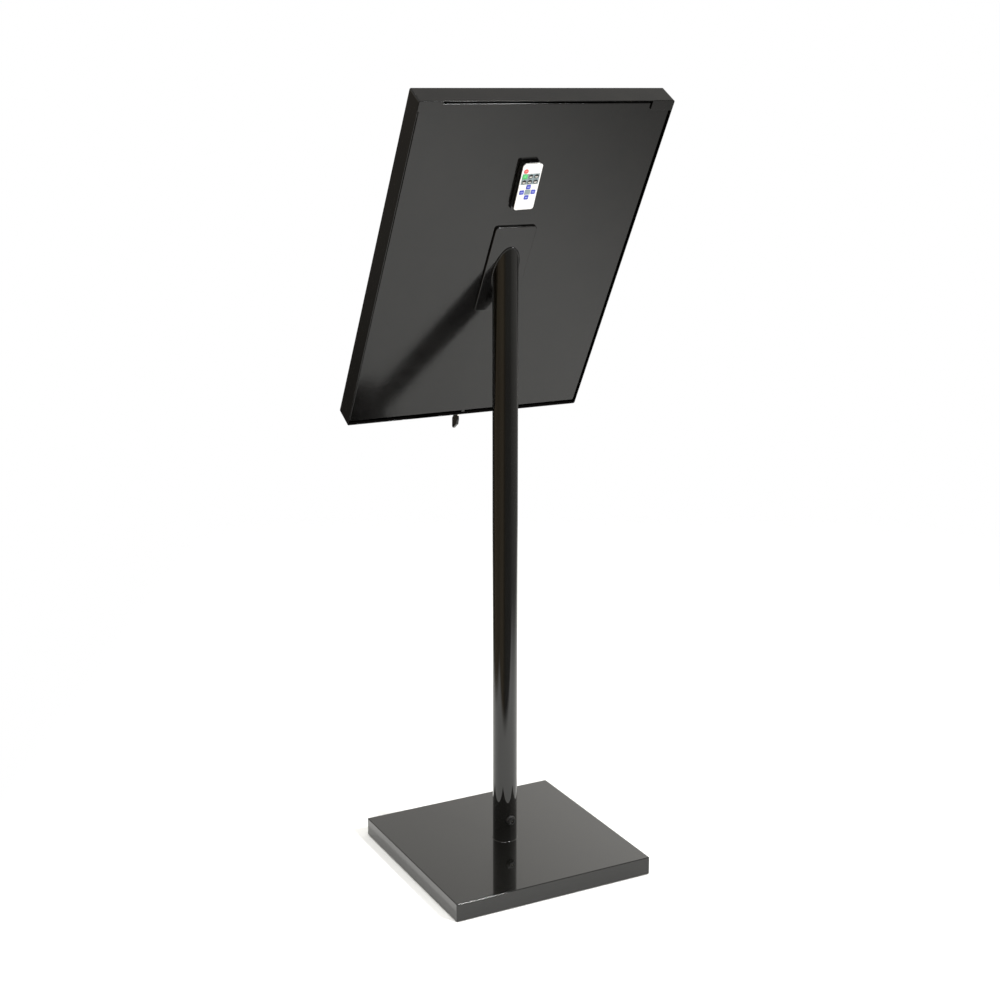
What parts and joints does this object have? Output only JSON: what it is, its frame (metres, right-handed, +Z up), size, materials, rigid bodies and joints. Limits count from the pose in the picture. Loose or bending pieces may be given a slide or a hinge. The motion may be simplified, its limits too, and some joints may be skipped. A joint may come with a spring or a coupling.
{
  "type": "sign stand",
  "caption": "Floor-standing sign stand: a heavy square base and a round column carry a leaning, lit poster case with a hinged, lockable front frame and a clip-on remote.",
  "frame": {"origin": "on the floor, on the axis of the column, which is the middle of the base", "axes": "+Z up; the reader stands on the -Y side and faces +Y; +X is across the case, to the reader's right"},
  "size_m": [0.476, 0.4073, 1.4259],
  "materials": {
    "gloss_enamel": "gloss",
    "powder_coat": "satin",
    "raw_steel": "satin",
    "zinc": "satin",
    "spacer_aluminium": "satin",
    "foot_rubber": "matte",
    "inlet_plastic": "satin",
    "lead_jacket": "matte",
    "nickel": "polished",
    "bronze": "satin",
    "white_enamel": "gloss",
    "strip_white": "satin",
    "led_phosphor": "gloss",
    "foam_tape": "matte",
    "clear_acrylic": "gloss",
    "moulded_black": "satin",
    "remote_white": "satin",
    "pcb_green": "satin",
    "button_red": "satin",
    "button_green": "satin",
    "button_black": "satin",
    "button_blue": "satin"
  },
  "bodies": {
    "stand": {"base_shell": "gloss_enamel", "ballast_plate": "raw_steel", "cover_posts": "raw_steel", "base_cover": "raw_steel", "cover_screws": "zinc", "base_feet": "foot_rubber", "column": "gloss_enamel", "column_foot_plug": "raw_steel", "column_bolt": "zinc", "mount_plate": "powder_coat", "weld_bead": "powder_coat", "plate_studs": "zinc", "plate_nuts": "zinc", "inlet_body": "inlet_plastic", "inlet_nut": "nickel", "inlet_pin": "nickel", "power_lead": "lead_jacket", "cable_grommet": "foot_rubber", "led_controller": "inlet_plastic", "back_tray": "powder_coat", "display_board": "white_enamel", "board_spacers": "spacer_aluminium", "board_screws": "zinc", "led_strips": "strip_white", "led_chips": "led_phosphor", "lid_bumpers": "foot_rubber", "lock_catch": "zinc", "hinge_bushes": "bronze", "cradle_pad": "foam_tape", "remote_cradle": "moulded_black"},
    "lid": {"lid_frame": "powder_coat", "glazing_tape": "foam_tape", "window": "clear_acrylic", "window_retainers": "zinc", "hinge_bosses": "powder_coat", "hinge_screws": "zinc", "lock_body": "nickel", "lock_nut": "nickel"},
    "lock": {"lock_plug": "nickel", "lock_cam": "zinc", "cam_screw": "zinc"},
    "key": {"key_blade": "nickel", "key_bow": "moulded_black"},
    "remote": {"remote_back_shell": "moulded_black", "remote_face": "remote_white", "remote_emitter": "clear_acrylic", "remote_pcb": "pcb_green"},
    "cell_tray": {"battery_tray": "moulded_black", "coin_cell": "nickel"},
    "button_power": {"remote_key_power": "button_red"},
    "button_on": {"remote_key_on": "button_green"},
    "button_mode": {"remote_key_mode": "button_black"},
    "button_flash": {"remote_key_flash": "button_black"},
    "button_warm": {"remote_key_warm": "button_black"},
    "button_neutral": {"remote_key_neutral": "button_black"},
    "button_cool": {"remote_key_cool": "button_black"},
    "button_up": {"remote_key_up": "button_blue"},
    "button_down": {"remote_key_down": "button_blue"},
    "button_left": {"remote_key_left": "button_blue"},
    "button_right": {"remote_key_right": "button_blue"}
  },
  "joints": [
    {"name": "lid_hinge", "type": "hinge", "parent": "stand", "child": "lid", "pos_m": [0, 0.1433, 1.38739], "axis": [-1, 0, 0], "range_deg": [0, 90]},
    {"name": "lock_turn", "type": "hinge", "parent": "lid", "child": "lock", "pos_m": [0.0035, -0.18137, 0.84039], "axis": [0, -0.4955, -0.8686], "range_deg": [0, 90]},
    {"name": "key_withdraw", "type": "slide", "parent": "lock", "child": "key", "axis": [0, -0.4955, -0.8686], "range_m": [0, 0.03]},
    {"name": "remote_slide", "type": "slide", "parent": "stand", "child": "remote", "axis": [0.0436, 0.495, 0.8678], "range_m": [0, 0.06]},
    {"name": "cell_tray_slide", "type": "slide", "parent": "remote", "child": "cell_tray", "axis": [-0.0436, -0.495, -0.8678], "range_m": [0, 0.034]},
    {"name": "press_power", "type": "slide", "parent": "remote", "child": "button_power", "axis": [0, -0.8686, 0.4955], "range_m": [0, 0.0003], "stiffness_N_per_m": 200},
    {"name": "press_on", "type": "slide", "parent": "remote", "child": "button_on", "axis": [0, -0.8686, 0.4955], "range_m": [0, 0.0003], "stiffness_N_per_m": 200},
    {"name": "press_mode", "type": "slide", "parent": "remote", "child": "button_mode", "axis": [0, -0.8686, 0.4955], "range_m": [0, 0.0003], "stiffness_N_per_m": 200},
    {"name": "press_flash", "type": "slide", "parent": "remote", "child": "button_flash", "axis": [0, -0.8686, 0.4955], "range_m": [0, 0.0003], "stiffness_N_per_m": 200},
    {"name": "press_warm", "type": "slide", "parent": "remote", "child": "button_warm", "axis": [0, -0.8686, 0.4955], "range_m": [0, 0.0003], "stiffness_N_per_m": 200},
    {"name": "press_neutral", "type": "slide", "parent": "remote", "child": "button_neutral", "axis": [0, -0.8686, 0.4955], "range_m": [0, 0.0003], "stiffness_N_per_m": 200},
    {"name": "press_cool", "type": "slide", "parent": "remote", "child": "button_cool", "axis": [0, -0.8686, 0.4955], "range_m": [0, 0.0003], "stiffness_N_per_m": 200},
    {"name": "press_up", "type": "slide", "parent": "remote", "child": "button_up", "axis": [0, -0.8686, 0.4955], "range_m": [0, 0.0003], "stiffness_N_per_m": 200},
    {"name": "press_down", "type": "slide", "parent": "remote", "child": "button_down", "axis": [0, -0.8686, 0.4955], "range_m": [0, 0.0003], "stiffness_N_per_m": 200},
    {"name": "press_left", "type": "slide", "parent": "remote", "child": "button_left", "axis": [0, -0.8686, 0.4955], "range_m": [0, 0.0003], "stiffness_N_per_m": 200},
    {"name": "press_right", "type": "slide", "parent": "remote", "child": "button_right", "axis": [0, -0.8686, 0.4955], "range_m": [0, 0.0003], "stiffness_N_per_m": 200}
  ]
}
